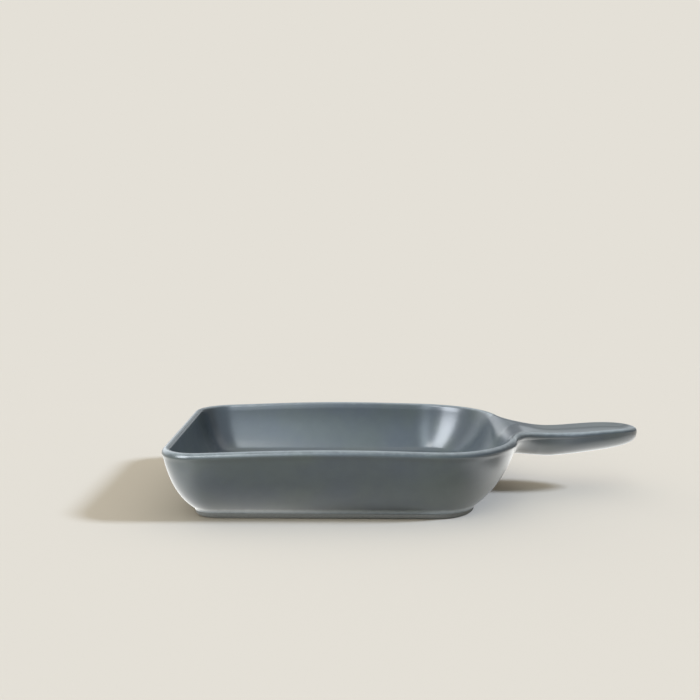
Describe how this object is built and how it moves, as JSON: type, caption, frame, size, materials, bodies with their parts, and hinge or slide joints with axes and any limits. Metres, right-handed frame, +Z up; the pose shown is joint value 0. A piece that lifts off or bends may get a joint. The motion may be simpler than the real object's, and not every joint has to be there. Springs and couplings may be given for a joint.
{
  "type": "baking dish",
  "caption": "Deep stoneware baking dish with rounded corners, a rolled rim, a standing foot ring and one flat paddle handle at its end.",
  "frame": {"origin": "on the table under the middle of the whole length, at the bottom centre of the bounding box", "axes": "+X along the handle, from the dish's left end to the handle's tip; +Y across the dish; +Z up"},
  "size_m": [0.28, 0.16, 0.0415],
  "materials": {
    "slate_glaze_dish": "satin gloss glaze, slate grey-blue",
    "slate_glaze_handle": "satin gloss glaze, slate grey-blue",
    "glazed_slip": "clay slip under the same glaze",
    "bare_stoneware": "unglazed fired clay"
  },
  "bodies": {
    "root": {"dish_body": "slate_glaze_dish", "handle": "slate_glaze_handle", "handle_slip": "glazed_slip", "foot_ring": "bare_stoneware"}
  },
  "joints": []
}
